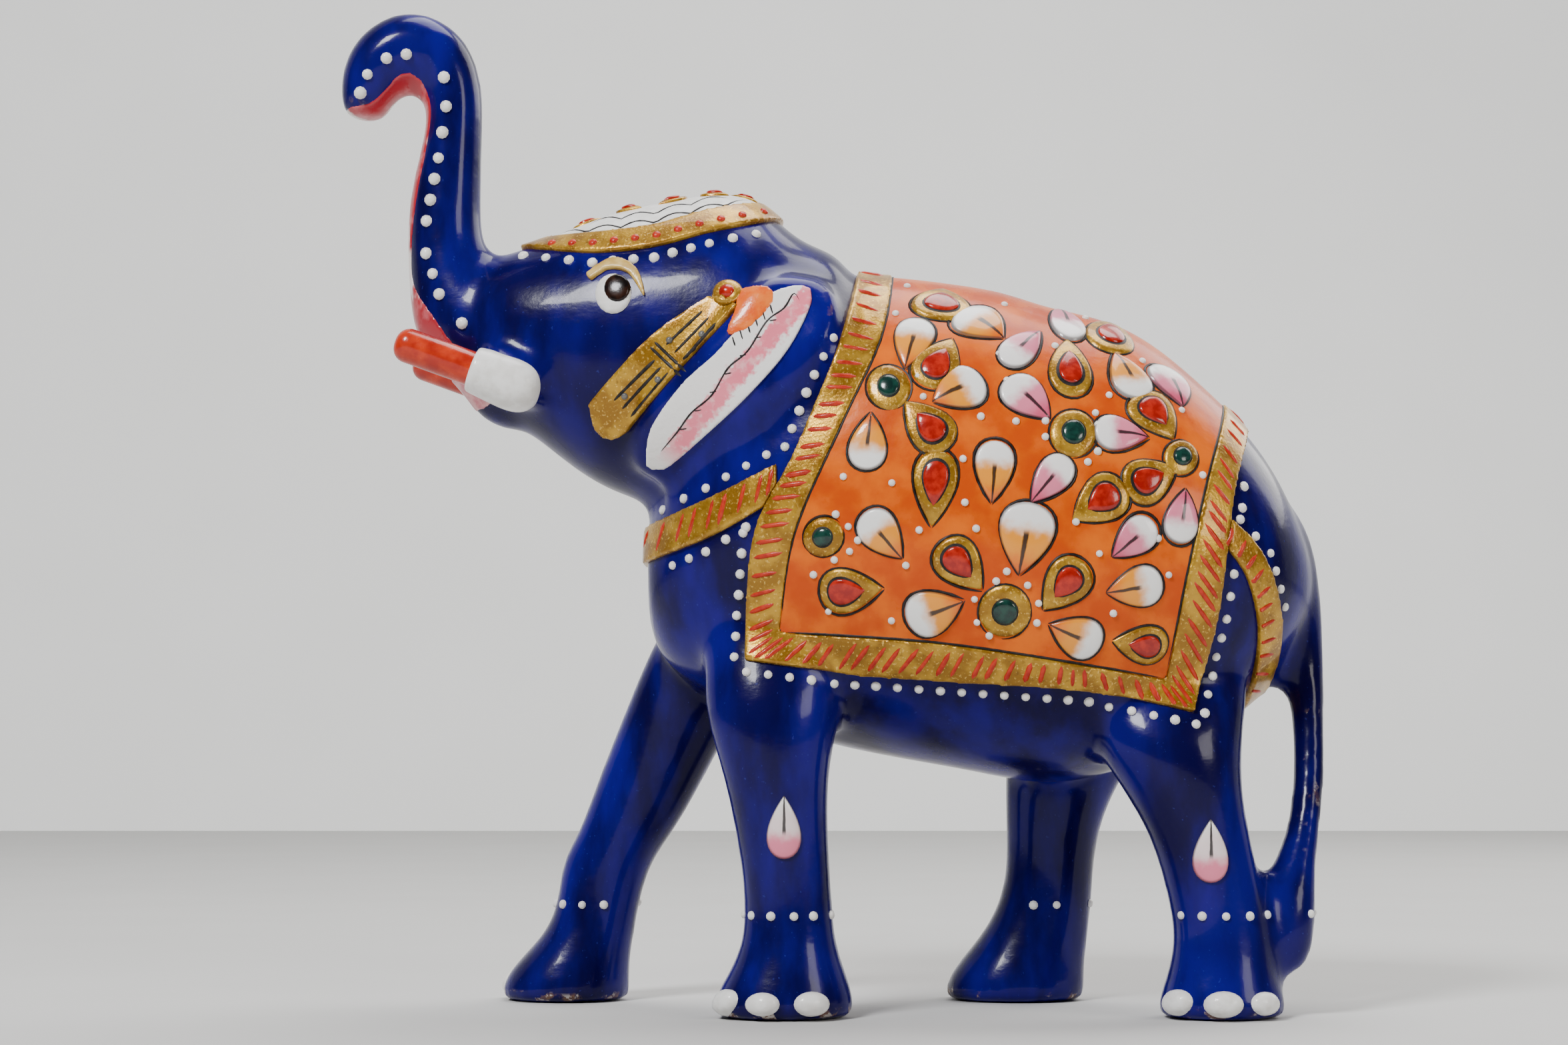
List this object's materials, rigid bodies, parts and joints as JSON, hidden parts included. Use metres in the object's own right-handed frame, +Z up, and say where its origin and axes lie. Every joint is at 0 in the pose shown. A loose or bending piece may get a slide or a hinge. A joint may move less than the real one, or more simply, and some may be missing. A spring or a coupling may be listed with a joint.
{
  "type": "carved wooden elephant",
  "caption": "Standing carved and painted wooden elephant figurine with a raised trunk, pegged tusks and raised paste decoration.",
  "frame": {"origin": "on the ground, under the middle of the object's box", "axes": "+Z up, the elephant looks along -X, its left side faces -Y"},
  "size_m": [0.1498, 0.0584, 0.152],
  "materials": {
    "lacquered_wood": "gloss",
    "tusk_wood": "gloss",
    "orange_paste": "gloss",
    "gold_paste": "gloss",
    "mustard_paste": "gloss",
    "black_paste": "gloss",
    "pink_paste": "gloss",
    "red_paste": "gloss",
    "green_paste": "gloss",
    "white_paste": "gloss"
  },
  "bodies": {
    "root": {"ankle_beads": "white_paste", "breast_strap": "gold_paste", "brow_left": "mustard_paste", "brow_right": "mustard_paste", "button_stones": "red_paste", "carved_body": "lacquered_wood", "crupper_strap": "gold_paste", "ear_panel_left": "white_paste", "ear_panel_right": "white_paste", "eye_left": "white_paste", "eye_right": "white_paste", "flower_rings": "gold_paste", "flower_stones": "green_paste", "gem_settings": "gold_paste", "gem_stones": "red_paste", "head_band": "gold_paste", "head_beads": "white_paste", "head_cloth": "white_paste", "leg_drops": "white_paste", "pink_petals": "pink_paste", "pupil_left": "black_paste", "pupil_right": "black_paste", "saddle_border": "gold_paste", "saddle_cloth": "orange_paste", "saddle_edge_beads": "white_paste", "saddle_field_beads": "white_paste", "strap_beads": "white_paste", "tassel_buttons": "gold_paste", "tassel_left": "gold_paste", "tassel_right": "gold_paste", "toenails_front_left": "white_paste", "toenails_front_right": "white_paste", "toenails_rear_left": "white_paste", "toenails_rear_right": "white_paste", "trunk_beads": "white_paste", "trunk_lining": "red_paste", "tusk_left": "tusk_wood", "tusk_right": "tusk_wood", "white_petals": "white_paste"}
  },
  "joints": []
}
